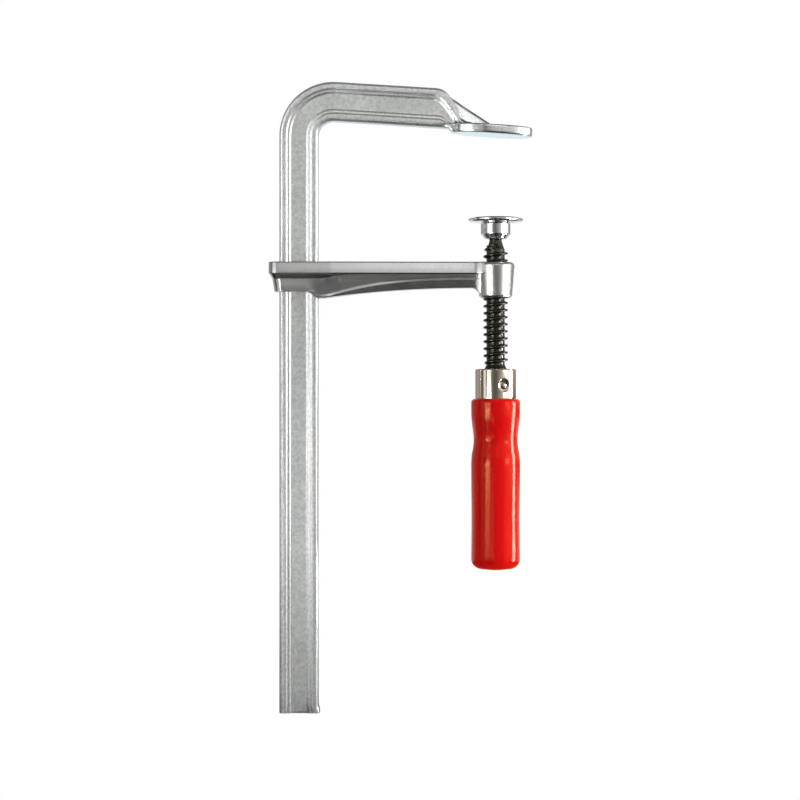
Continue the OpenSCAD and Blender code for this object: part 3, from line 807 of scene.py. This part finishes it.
spindle_black = oil_black()
dress(spindle, spindle_black)
join(spindle, thread_mesh("screw_thread", spindle_black, 1, turns=THREAD_TURNS, root_radius=ROOT_R,
                          depth=THREAD_R - ROOT_R, crest_width=0.7, flank_width=0.75, runout_turns=0.4,
                          start_turn=THREAD_START_TURN,
                          start_height=THREAD_LOW + PITCH / 2 + THREAD_START_TURN * PITCH))
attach(spindle, "screw")
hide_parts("spindle")

# Pressure plate
# A turned steel disc with a socket under it, rolled over the screw's ball so that it swivels.
# Bright chrome plate.
disc_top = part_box("pressure_plate")[1].z / MM
disc_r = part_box("pressure_plate")[1].x / MM
cup_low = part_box("pressure_plate")[0].z / MM
CUP_R = 8.4
MOUTH_R = 4.4
SOCKET_R = 4.8
GROOVE_DEPTH = 1.1
socket = arc(0, ball_z, SOCKET_R, 90, -16, 12)
groove = arc(0, ball_z, SOCKET_R + GROOVE_DEPTH, -16, -40, 4)
shell = rounded([(MOUTH_R, cup_low + 0.6, 0), (MOUTH_R + 0.4, cup_low, 0.15), (CUP_R - 2.2, cup_low, 0.9),
                 (CUP_R, cup_low + 2.6, 1.6), (CUP_R, disc_top - 3.1, 0.5),
                 (disc_r - 1, disc_top - 2.3, 0.8), (disc_r, disc_top - 1.5, 0.5),
                 (disc_r, disc_top - 0.6, 0.3), (disc_r - 0.8, disc_top, 0.4), (0, disc_top, 0)], 6)
plate = new_piece("swivel_plate", turned("swivel_plate", [*socket, *groove, *shell]))
shade(plate, 40)
dress(plate, plated_steel("bright_chrome", (0.66, 0.68, 0.69), (0.76, 0.78, 0.79), (0.12, 0.17),
                          grain=0.005))
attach(plate, "pressure_plate")
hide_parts("pressure_plate")

# Snap ring
# A ring of round spring wire in the socket's groove, which keeps the ball in. It is hidden in the
# plate, so the ring of the frame is shown as it is, in bare drawn wire.
dress(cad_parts["snap_ring"],
      plated_steel("drawn_wire", (0.36, 0.37, 0.38), (0.5, 0.5, 0.5), (0.25, 0.4)))

# Handle
# Turned beech with a waist for the fingers, dipped in red lacquer, its end gently domed.
# The grain shows faintly through the lacquer.
grip_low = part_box("handle_grip")[0].z / MM
ferrule_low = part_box("handle_ferrule")[0].z / MM
GRIP_R = 13.85
GRIP_EDGE_R = 2.1
GRIP_END_R = 5.7
GRIP_DOME = 0.8
SPIGOT_R = 9.75
# Turning of the grip as (distance below the ferrule, radius)
GRIP_TURNING = [(GRIP_EDGE_R, GRIP_R), (6.5, GRIP_R), (11, 13.7), (14.4, 13.35), (17.8, 12.9), (21, 12.55),
                (24, 12.45), (27.5, 12.8), (31.4, 13.5), (35.9, GRIP_R), (42, GRIP_R), (54, 13.75),
                (67.5, 13.65), (80, 13.75), (ferrule_low - grip_low - 7.3, GRIP_R)]


def curved(stations, steps):
    """Smooth line through stations, with a number of steps between each two."""
    points = [Vector(s) for s in stations]
    points = [points[0], *points, points[-1]]
    line = []
    for a, b, c, d in zip(points, points[1:], points[2:], points[3:]):
        for k in range(steps):
            t = k / steps
            line.append(0.5 * (2 * b + (c - a) * t + (2 * a - 5 * b + 4 * c - d) * t * t
                               + (3 * b - a - 3 * c + d) * t ** 3))
    return line + [points[-1]]


grip_profile = [(0, ferrule_top - 2), (SPIGOT_R, ferrule_top - 2), (SPIGOT_R, ferrule_low)]
grip_profile += arc(GRIP_R - GRIP_EDGE_R, ferrule_low - GRIP_EDGE_R, GRIP_EDGE_R, 90, 5, 10)
grip_profile += [(p.y, ferrule_low - p.x) for p in curved(GRIP_TURNING, 6)]
grip_profile += arc(GRIP_R - GRIP_END_R, grip_low + GRIP_END_R + GRIP_DOME, GRIP_END_R, -5, -78, 12)
grip_profile += [(4, grip_low + 0.15), (0, grip_low)]
grip = new_piece("handle_grip_turned", turned("handle_grip_turned", grip_profile))
shade(grip, 50)


def red_lacquer():
    """Red lacquer over close-grained wood: long faint streaks, a few dips in the film, a clear gloss."""
    material, shader, add = plain_material("red_lacquer")
    place = add("ShaderNodeTexCoord").outputs["Object"]
    stretch = add("ShaderNodeMapping", Vector=place, Scale=(420, 420, 16)).outputs["Vector"]
    grain = add("ShaderNodeTexNoise", Vector=stretch, Scale=1.0, Detail=5.0, Roughness=0.6).outputs["Fac"]
    colour = add("ShaderNodeValToRGB", Fac=grain)
    colour.color_ramp.elements[0].position = 0.3
    colour.color_ramp.elements[0].color = (0.54, 0.002, 0.004, 1)
    colour.color_ramp.elements[1].position = 0.7
    colour.color_ramp.elements[1].color = (0.68, 0.005, 0.006, 1)
    dips = add("ShaderNodeTexNoise", Vector=place, Scale=650.0, Detail=1.0).outputs["Fac"]
    height = math_maker(material.node_tree)("ADD", grain, dips)
    bump = add("ShaderNodeBump", Height=height, Strength=0.6, Distance=0.00012)
    feed(shader, Base_Color=colour.outputs["Color"], Normal=bump.outputs["Normal"], Roughness=0.1,
         Specular_IOR_Level=0.3, Specular_Tint=(1, 0.55, 0.25, 1), Sheen_Weight=0.8, Sheen_Roughness=0.28,
         Sheen_Tint=(1, 0.5, 0, 1))
    return material


dress(grip, red_lacquer())
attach(grip, "screw")
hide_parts("handle_grip")

# Ferrule
# A drawn steel cap over the end of the handle, nickel plated to a warm shine. A punched dimple on each
# side sinks the ends of the pin.
FERRULE_R = 11.6
FERRULE_H = 16.8
FERRULE_CAP_T = 1.8
FIT = 0.05
PIN_R = 2.3
PIN_TURN = math.radians(22.6)
cap_low = ferrule_top - FERRULE_CAP_T
pin_z = ferrule_top - 0.55 * FERRULE_H
ferrule_profile = rounded([(TANG_R + FIT, cap_low, 0), (TANG_R + FIT, ferrule_top, 0),
                           (FERRULE_R, ferrule_top, 0.8), (FERRULE_R, ferrule_low, 0.25),
                           (SPIGOT_R + FIT, ferrule_low, 0), (SPIGOT_R + FIT, cap_low, 0)], 8)
ferrule = new_piece("ferrule_cap", turned("ferrule_cap", [*ferrule_profile, (TANG_R + FIT, cap_low)]))
pin_place = Matrix.Translation((0, 0, pin_z * MM))
pin_place = pin_place @ Matrix.Rotation(PIN_TURN, 4, "Z") @ Matrix.Rotation(math.pi / 2, 4, "X")
dimple_profile = [(0, 10), (PIN_R + FIT, 10), (PIN_R + FIT, 10.9), (3, 11.06), (3.6, 11.3), (4.2, 11.63),
                  (4.8, 12.05), (0, 12.05)]
for side in (1, -1):
    dimple = turned("dimple", [(r, side * z) for r, z in dimple_profile], 64)
    dimple.transform(pin_place)
    cut(ferrule, dimple)
shade(ferrule, 30)
dress(ferrule, plated_steel("warm_nickel", (0.62, 0.52, 0.42), (0.72, 0.62, 0.51), (0.08, 0.12),
                            grain=0.005))
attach(ferrule, "screw")
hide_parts("handle_ferrule")

# Pin
# A steel pin driven through the ferrule, the wood and the tang, its ends rounded by the punch.
# Bare metal, a dark brownish grey mottled at random.
PIN_HALF_L = 11
pin_end = [(0, PIN_HALF_L), (1.2, PIN_HALF_L - 0.1), (2, PIN_HALF_L - 0.45), (PIN_R, PIN_HALF_L - 1)]
pin_profile = pin_end + [(r, -z) for r, z in reversed(pin_end)]
pin = new_piece("cross_pin", turned("cross_pin", pin_profile, 48))
pin.data.transform(pin_place)
shade(pin, 50)
dress(pin, plated_steel("dark_pin_steel", (0.2, 0.18, 0.15), (0.5, 0.46, 0.4), (0.2, 0.4), fine=700,
                        grain=0.5))
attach(pin, "screw")
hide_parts("handle_pin")

# Studio
# Pale paper under the clamp and white behind it, a softbox on each side and a large one above. Cards and
# bright strips round it, seen in reflections alone, draw the light and dark bands on the plated steel.


def eye_or_mirror(tree):
    """Output that is 1 where the camera or a reflection looks, or light shines through, and 0 otherwise."""
    ray = tree.nodes.new("ShaderNodeLightPath").outputs
    math_node = math_maker(tree)
    seen = math_node("MAXIMUM", ray["Is Camera Ray"], ray["Is Glossy Ray"])
    return math_node("MAXIMUM", seen, ray["Is Transmission Ray"])


def show_mix(tree, output, share, first, second):
    """Mixes two shaders by a share and shows the mix at the tree's output."""
    mix = node_maker(tree)("ShaderNodeMixShader", Fac=share)
    tree.links.new(first.outputs[0], mix.inputs[1])
    tree.links.new(second.outputs[0], mix.inputs[2])
    feed(tree.nodes[output], Surface=mix.outputs[0])


def white_backdrop(world):
    """World that is white paper to the eye and in reflections, and a plain soft fill for the rest."""
    world.use_nodes = True
    tree = world.node_tree
    paper = tree.nodes["Background"]
    feed(paper, Color=(1, 1, 1, 1))
    fill = node_maker(tree)("ShaderNodeBackground", Color=(1, 1, 1, 1), Strength=0.25)
    show_mix(tree, "World Output", eye_or_mirror(tree), fill, paper)


scene = bpy.context.scene
scene.world = bpy.data.worlds.new("paper")
white_backdrop(scene.world)
scene.view_settings.view_transform = "Standard"


def card_light(name, layers, level=False):
    """Material that glows by direction and by height, or on a level card by distance: the sum of layers.

    Each layer is its brightest glow, stops of (degrees round from the camera, glow) and stops of
    (height or distance in metres, share).
    """
    material = bpy.data.materials.new(name)
    material.use_nodes = True
    tree = material.node_tree
    add = node_maker(tree)
    math_node = math_maker(tree)

    def ramp(source, stops, most):
        low, high = stops[0][0], stops[-1][0]
        spread = add("ShaderNodeMapRange", Value=source, From_Min=low, From_Max=high)
        curve = add("ShaderNodeValToRGB", Fac=spread.outputs["Result"])
        while len(curve.color_ramp.elements) < len(stops):
            curve.color_ramp.elements.new(0.5)
        for element, (at, glow) in zip(curve.color_ramp.elements, stops):
            element.position = (at - low) / (high - low)
            element.color = (glow / most, glow / most, glow / most, 1)
        return curve.outputs["Color"]

    place = add("ShaderNodeTexCoord").outputs["Object"]
    x, y, reach = add("ShaderNodeSeparateXYZ", Vector=place).outputs
    turn = math_node("DEGREES", math_node("ARCTAN2", x, math_node("MULTIPLY", y, -1)))
    if level:
        square = math_node("ADD", math_node("MULTIPLY", x, x), math_node("MULTIPLY", y, y))
        reach = math_node("SQRT", square)
    total = 0
    for most, around, share in layers:
        glow = math_node("MULTIPLY", ramp(turn, around, most), ramp(reach, share, 1))
        total = math_node("MULTIPLY_ADD", glow, most, total)
    light = add("ShaderNodeEmission", Strength=total)
    feed(tree.nodes["Material Output"], Surface=light.outputs[0])
    return material


def only_in_reflections(card):
    """Hides a card from everything but glossy rays."""
    card.visible_camera = False
    card.visible_diffuse = False
    card.visible_transmission = False
    card.visible_shadow = False


def even(glow):
    """Stops for the same glow all round."""
    return [(-180, glow), (180, glow)]


RING_R = 2.4
RING_LOW = -1.2
RING_TOP = 1.8
RING_END = 160
# Softboxes and grey cards round the clamp, as (degrees round from the camera, glow)
side_light = [(-RING_END, 0.3), (-136, 0.42), (-112, 0.48), (-98, 0.28), (-88, 0.13), (-80, 0.13),
              (-73, 0.6), (-64, 1.5), (-38, 1.5), (-32, 1.1), (-25, 0.35), (-19, 0.2), (-8, 0.13),
              (4, 0.16), (17, 0.32), (32, 0.55), (42, 0.95), (52, 1.5), (95, 1.5), (100, 0.02),
              (RING_END, 0.02)]
right_back = [(-RING_END, 0), (95, 0), (100, 1.5), (103, 1.5), (112, 1), (117, 0.4), (131, 0.36),
              (RING_END, 0.3)]


def card_ring():
    """Ring of cards and softboxes round the clamp, open behind it."""
    bm = bmesh.new()
    rows = []
    for degrees in range(-RING_END, RING_END + 5, 5):
        a = math.radians(degrees)
        x, y = RING_R * math.sin(a), -RING_R * math.cos(a)
        rows.append([bm.verts.new((x, y, z)) for z in (RING_LOW, RING_TOP)])
    for a, b in zip(rows, rows[1:]):
        bm.faces.new((a[0], a[1], b[1], b[0]))
    over_jaw = [(-RING_END, 0.05), (-40, 0.1), (-26, 0.5), (-9, 0.5), (-7, 0.02), (-2, 0.02), (1, 0.55),
                (30, 0.5), (50, 0.1), (RING_END, 0.05)]
    over_arm = [(-RING_END, 0), (-12, 0), (0, 1), (10, 1), (20, 0), (RING_END, 0)]
    jaw_strips = [(-RING_END, 0), (-44, 0), (-40, 3), (-32, 3), (-28, 0), (81, 0), (85, 6), (96, 6),
                  (100, 0), (RING_END, 0)]
    screw_strip = [(-RING_END, 0), (42, 0), (47, 10), (64, 10), (69, 0), (RING_END, 0)]
    mesh = mesh_from("cards", bm)
    mesh.materials.append(card_light("cards", [
        (2, side_light, [(RING_LOW, 1), (0.1, 1), (0.3, 0.8), (RING_TOP, 0.5)]),
        (2, right_back, [(RING_LOW, 1), (-0.315, 1), (-0.3, 0), (-0.155, 0), (-0.14, 1), (RING_TOP, 0.5)]),
        (1, over_jaw, [(RING_LOW, 0), (0.19, 0), (0.26, 1), (0.4, 1), (0.5, 0.7), (1.3, 0.7),
                       (RING_TOP, 0.4)]),
        (1.3, over_arm, [(RING_LOW, 0), (0.42, 0), (0.6, 0.5), (0.85, 0.5), (1, 1), (1.5, 1), (1.6, 0),
                         (RING_TOP, 0)]),
        (6, jaw_strips, [(RING_LOW, 0), (0.22, 0), (0.26, 1), (0.42, 1), (0.5, 0), (RING_TOP, 0)]),
        (10, screw_strip, [(RING_LOW, 0), (-0.1, 0), (-0.08, 1), (0.08, 1), (0.11, 0), (RING_TOP, 0)]),
    ]))
    return new_piece("cards", mesh)


def flat_card(name, height, radius, layers):
    """Round card that lies level at a height, in metres, with its glow by direction and distance."""
    bm = bmesh.new()
    bmesh.ops.create_circle(bm, cap_ends=True, segments=48, radius=radius,
                            matrix=Matrix.Translation((0, 0, height)))
    mesh = mesh_from(name, bm)
    mesh.materials.append(card_light(name, layers, level=True))
    return new_piece(name, mesh)


def upright_card(name, start, end, glow, heights):
    """Upright card between two points of the plan, in metres, its glow shared out by height."""
    bm = bmesh.new()
    low, high = heights[0][0], heights[-1][0]
    corners = [(*start, low), (*end, low), (*end, high), (*start, high)]
    bm.faces.new([bm.verts.new(c) for c in corners])
    mesh = mesh_from(name, bm)
    mesh.materials.append(card_light(name, [(glow, even(glow), heights)]))
    return new_piece(name, mesh)


only_in_reflections(card_ring())
behind = [(-180, 0.8), (-125, 0.6), (-110, 0), (110, 0), (125, 0.6), (180, 0.8)]
only_in_reflections(flat_card("lower_card", RAIL_LOW * MM + 0.0003, 2.5, [
    (2, side_light, [(0, 0.08), (0.42, 0.08), (0.65, 0.3), (1.1, 0.45), (1.9, 0.45), (2.3, 0.9),
                     (2.5, 0.9)]),
    (1, behind, [(0, 0), (0.3, 0), (0.5, 1), (2.5, 1)]),
    (2, right_back, [(0, 0), (1.7, 0), (1.8, 1), (2.5, 1)]),
]))
only_in_reflections(flat_card("roof_card", RING_TOP, RING_R, [(1, even(0.1), [(0, 1), (RING_R, 1)])]))

# Near cards: a dark one that shades the rail's recess, one that lights the rail's lower half, and two that
# draw the highlights down the handle
NEAR_CARDS = (
    ("shade_card", (-0.25, -0.15), (-0.185, -0.15), 0.1, [(-0.34, 1), (-0.1, 1)]),
    ("rail_card", (-0.36, -0.7), (-0.13, -0.7), 1.9, [(-0.36, 1), (-0.26, 1), (-0.22, 0)]),
    ("handle_edge_card", (0.16, -0.02), (0.16, 0.02), 26, [(-0.28, 1), (-0.11, 1)]),
    ("handle_card", (-0.37, -0.3), (-0.33, -0.6), 20,
     [(-0.31, 0.03), (-0.26, 0.13), (-0.21, 0.5), (-0.18, 0.9), (-0.15, 1)]),
)
for card in NEAR_CARDS:
    only_in_reflections(upright_card(*card))

# Spot of the floor under the rail, below the handle's reach when the arm is slid down
FLOOR_SPOT = (-0.111, 0, -0.49)


def paper_floor():
    """Pale floor that keeps the clamp's shadow and fades into the white paper behind."""
    bm = bmesh.new()
    bmesh.ops.create_grid(bm, x_segments=1, y_segments=1, size=6, matrix=Matrix.Translation(FLOOR_SPOT))
    material, shader, add = plain_material("paper_floor")
    feed(shader, Base_Color=(0.93, 0.93, 0.93, 1), Roughness=0.9, Specular_IOR_Level=0.1)
    tree = material.node_tree
    from_rail = add("ShaderNodeVectorMath", Vector=add("ShaderNodeTexCoord").outputs["Object"])
    from_rail.operation = "DISTANCE"
    from_rail.inputs[1].default_value = FLOOR_SPOT
    far = add("ShaderNodeMapRange", Value=from_rail.outputs["Value"], From_Min=0.02, From_Max=0.2,
              To_Min=0.8, To_Max=1.0)
    share = math_maker(tree)("MULTIPLY", eye_or_mirror(tree), far.outputs["Result"])
    white = add("ShaderNodeEmission", Strength=1.0)
    show_mix(tree, "Material Output", share, shader, white)
    mesh = mesh_from("floor", bm)
    mesh.materials.append(material)
    return new_piece("floor", mesh)


paper_floor()


def softbox(name, place, aim, width, height, power):
    """Rectangular area lamp at a place, turned towards a point, for the matt surfaces."""
    lamp = bpy.data.lights.new(name, "AREA")
    lamp.shape = "RECTANGLE"
    lamp.size = width
    lamp.size_y = height
    lamp.energy = power
    piece = bpy.data.objects.new(name, lamp)
    piece.location = place
    piece.rotation_euler = (Vector(aim) - Vector(place)).to_track_quat("-Z", "Y").to_euler()
    piece.visible_glossy = False
    piece.visible_camera = False
    scene.collection.objects.link(piece)


middle = (-0.05, 0, -0.15)
softbox("softbox_right", (1.55, -0.55, 0.2), middle, 0.7, 1.4, 33)
softbox("softbox_left", (-1.3, -1.2, 0.2), middle, 0.5, 1.4, 2.5)
softbox("softbox_above", (0, -0.2, 1.3), middle, 1.6, 1.2, 12)

# Camera
# Level with the middle of the clamp and square to its front, as in the photograph.
camera = bpy.data.objects.new("camera", bpy.data.cameras.new("camera"))
camera.data.lens = 99
camera.data.sensor_width = 36
camera.location = (-0.054, -1.243, -0.1494)
camera.rotation_euler = (math.pi / 2, 0, 0)
camera.data.clip_end = 50
scene.collection.objects.link(camera)
scene.camera = camera
